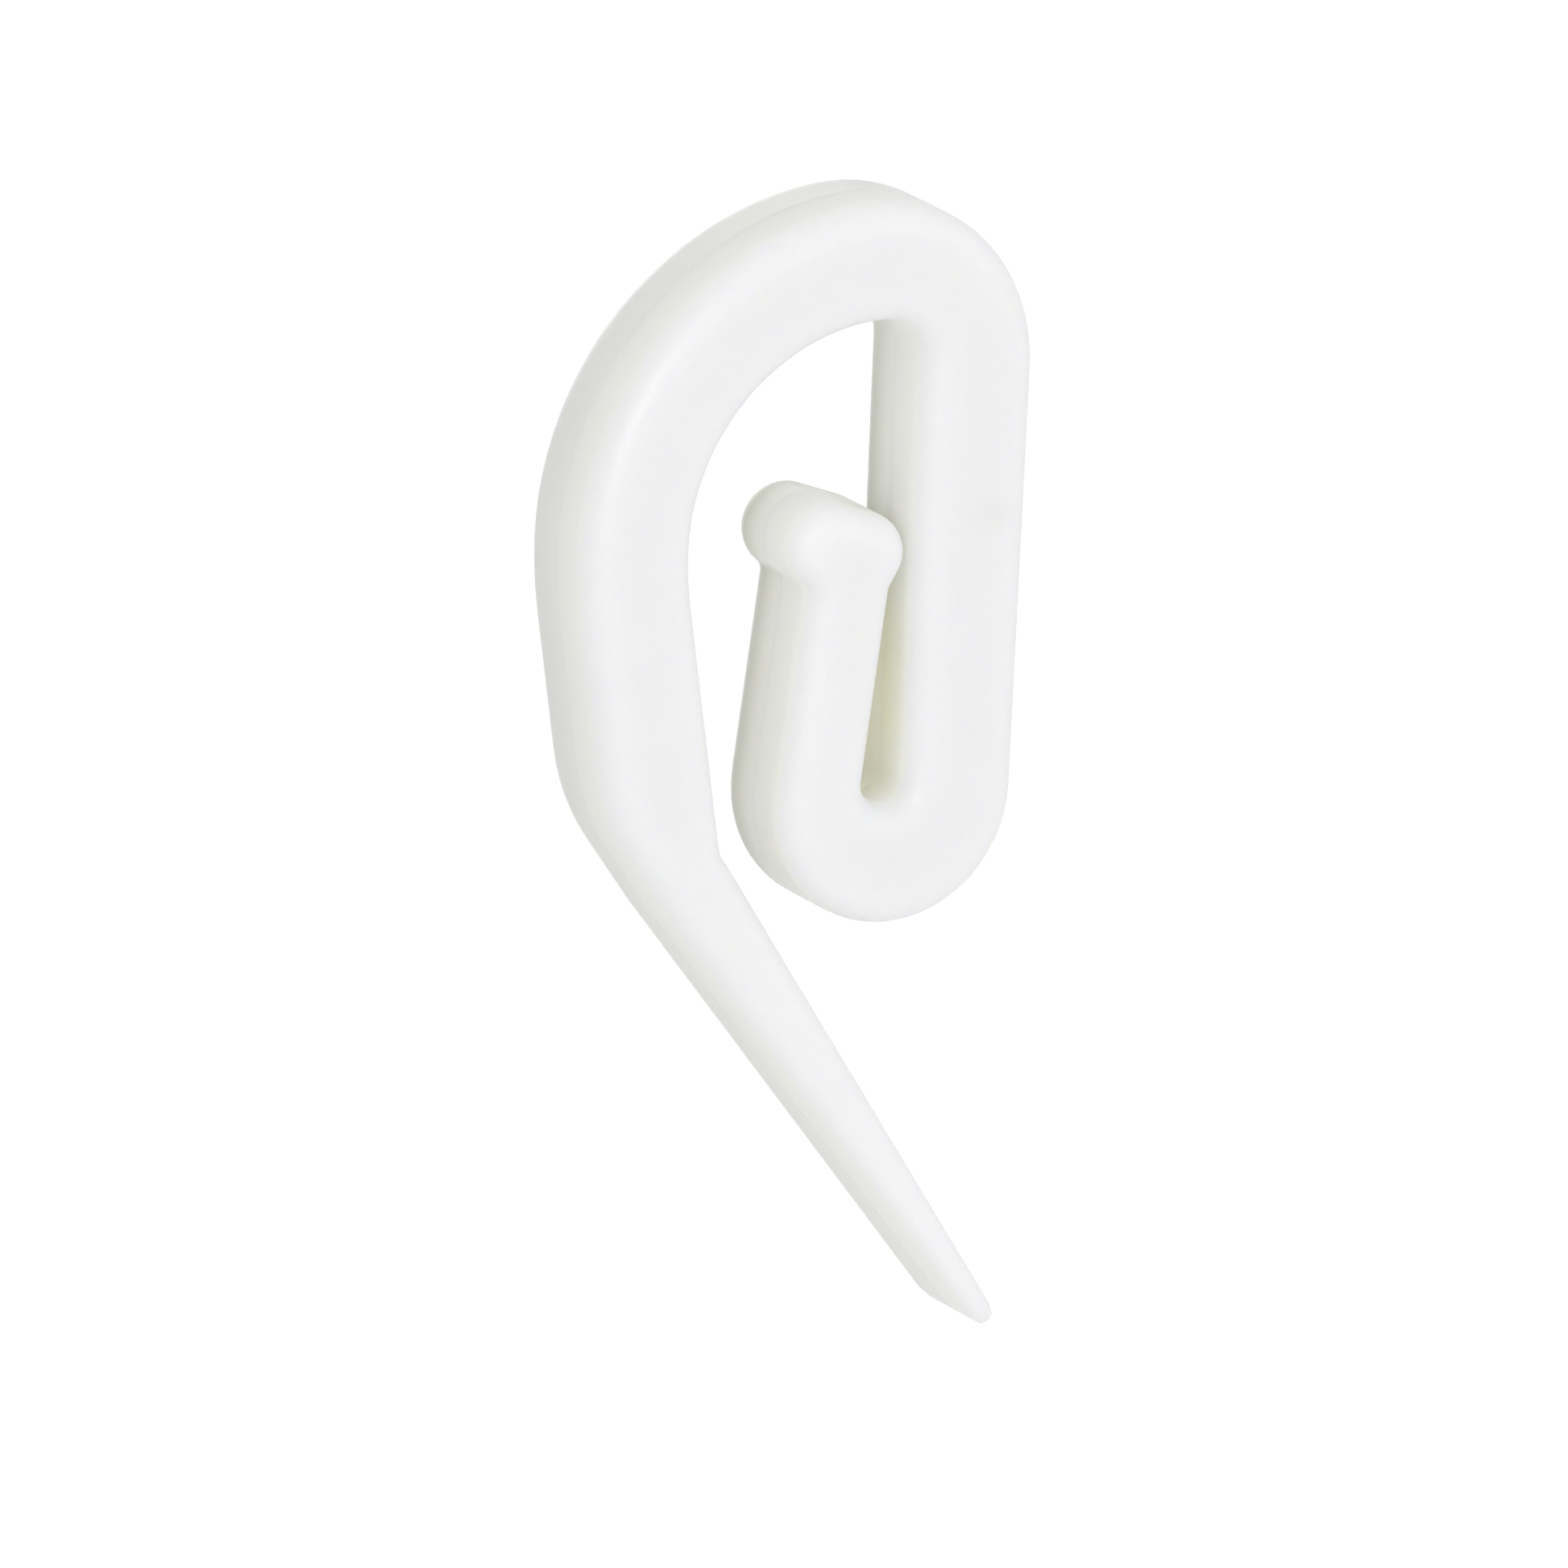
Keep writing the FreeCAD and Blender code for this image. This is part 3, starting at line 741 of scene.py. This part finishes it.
@dataclass
class Studio:
    """The pale floor, the even light round the hook and the lamps."""

    floor_drop: float = 0.045
    floor_reach: float = 6.0
    floor_colour: Colour = (0.94, 0.94, 0.94, 1.0)
    floor_lift: float = 0.30
    ambient_front: float = 0.885
    ambient_back: float = 0.57
    lamps: tuple[Lamp, ...] = (
        Lamp(LampRole.KEY, (-0.20, -0.68, 0.08), 0.35, 0.17),
        Lamp(LampRole.TOP, (-0.08, 0.02, 0.70), 0.40, 0.04),
        Lamp(LampRole.BACK, (0.16, 0.68, 0.02), 0.40, 0.08),
        Lamp(LampRole.FILL, (0.40, -0.55, 0.02), 0.40, 0.04),
    )

    def background_rays(self, graph: NodeGraph) -> bpy.types.NodeSocket:
        """Tell the rays that show the background from those that light the hook.

        Args:
            graph: The shader tree to add to.

        Returns:
            A socket that is 1 for camera, glossy and transmission rays.
        """
        path = graph.add("ShaderNodeLightPath")
        seen = graph.math("MAXIMUM", path.outputs["Is Camera Ray"], path.outputs["Is Glossy Ray"])
        return graph.math("MAXIMUM", seen, path.outputs["Is Transmission Ray"])

    def light_world(self) -> None:
        """Light the hook from all round, a little more from the front, before a white background."""
        world = bpy.data.worlds.new("studio")
        world.use_nodes = True
        bpy.context.scene.world = world
        graph = NodeGraph(world.node_tree)
        direction = graph.add("ShaderNodeTexCoord").outputs["Generated"]
        depth = graph.add("ShaderNodeSeparateXYZ", {0: direction}).outputs["Y"]
        ambient = graph.ramp(depth, -0.9, 0.9, self.ambient_front, self.ambient_back)
        shown = self.background_rays(graph)
        lighting = graph.math("MULTIPLY", ambient, graph.math("SUBTRACT", 1.0, shown))
        strength = graph.math("ADD", lighting, shown)
        inputs = {"Color": (1.0, 1.0, 1.0, 1.0), "Strength": strength}
        background = graph.add("ShaderNodeBackground", inputs)
        graph.add("ShaderNodeOutputWorld", {"Surface": background.outputs["Background"]})
        LOG.info("world: ambient %.2f to %.2f", self.ambient_back, self.ambient_front)

    def lay_floor(self) -> None:
        """Lay the pale floor below the hanging hook. It shows white and keeps the hook's shadow."""
        material = bpy.data.materials.new("pale_floor")
        material.use_nodes = True
        graph = NodeGraph(material.node_tree)
        matt = graph.add("ShaderNodeBsdfDiffuse", {"Color": self.floor_colour})
        lift = graph.math("MULTIPLY", self.background_rays(graph), self.floor_lift)
        glow = graph.add("ShaderNodeEmission", {"Strength": lift})
        both = graph.add("ShaderNodeAddShader", {0: matt.outputs["BSDF"], 1: glow.outputs["Emission"]})
        graph.add("ShaderNodeOutputMaterial", {"Surface": both.outputs["Shader"]})
        level, reach = CAD_BOX[0].z - self.floor_drop, self.floor_reach
        mesh = bpy.data.meshes.new("floor")
        turns = ((-1, -1), (1, -1), (1, 1), (-1, 1))
        mesh.from_pydata([(x * reach, y * reach, level) for x, y in turns], [], [(0, 1, 2, 3)])
        mesh.materials.append(material)
        new_object("floor", mesh)
        LOG.info("floor: %.0f mm below the tail", self.floor_drop / MM)

    def build(self) -> None:
        """Set the studio up."""
        target = (CAD_BOX[0] + CAD_BOX[1]) / 2
        self.light_world()
        self.lay_floor()
        for lamp in self.lamps:
            lamp.build(target)
        bpy.context.scene.view_settings.view_transform = "Standard"


@dataclass(frozen=True)
class PhotoCamera:
    """The camera where the photograph was taken from: left of the front, a little above, tilted."""

    azimuth: float = -30.0
    elevation: float = 16.0
    tilt: float = 2.3
    lens: float = 800.0
    sensor: float = 36.0
    frame_mm: float = 42.21
    target_mm: Point = (-3.145, -2.279, -12.357)

    def axes(self) -> Matrix:
        """Work out the camera's directions.

        Returns:
            A turn whose columns are the picture's right, its top and the way back to the camera.
        """
        turn, rise = math.radians(self.azimuth), math.radians(self.elevation)
        back = Vector((math.sin(turn) * math.cos(rise), -math.cos(turn) * math.cos(rise), math.sin(rise)))
        right = Vector((math.cos(turn), math.sin(turn), 0.0))
        level = Matrix((right, back.cross(right), back)).transposed()
        return level @ Matrix.Rotation(math.radians(self.tilt), 3, "Z")

    def build(self) -> bpy.types.Object:
        """Set the camera up and make it the scene's own.

        Returns:
            The camera's object.
        """
        data = bpy.data.cameras.new("camera")
        data.lens, data.sensor_width = self.lens, self.sensor
        data.dof.use_dof = False
        camera = bpy.data.objects.new("camera", data)
        axes = self.axes()
        distance = self.frame_mm * MM * self.lens / self.sensor
        data.clip_start, data.clip_end = distance * 0.05, distance * 50
        place = Vector(self.target_mm) * MM + axes.col[2] * distance
        camera.matrix_world = Matrix.Translation(place) @ axes.to_4x4()
        bpy.context.scene.collection.objects.link(camera)
        bpy.context.scene.camera = camera
        LOG.info("camera: %.0f mm lens at %.2f m", self.lens, distance)
        return camera


def main() -> None:
    """Build the picture: camera, studio, then the hook and its moulding marks."""
    logging.basicConfig(level=logging.INFO, format="%(name)s %(message)s")
    PhotoCamera().build()
    Studio().build()
    HookMoulding().dress()
    PartingLine().build()
    EjectorMarks().build()
    GateMark().build()


if __name__ == "__main__":
    main()
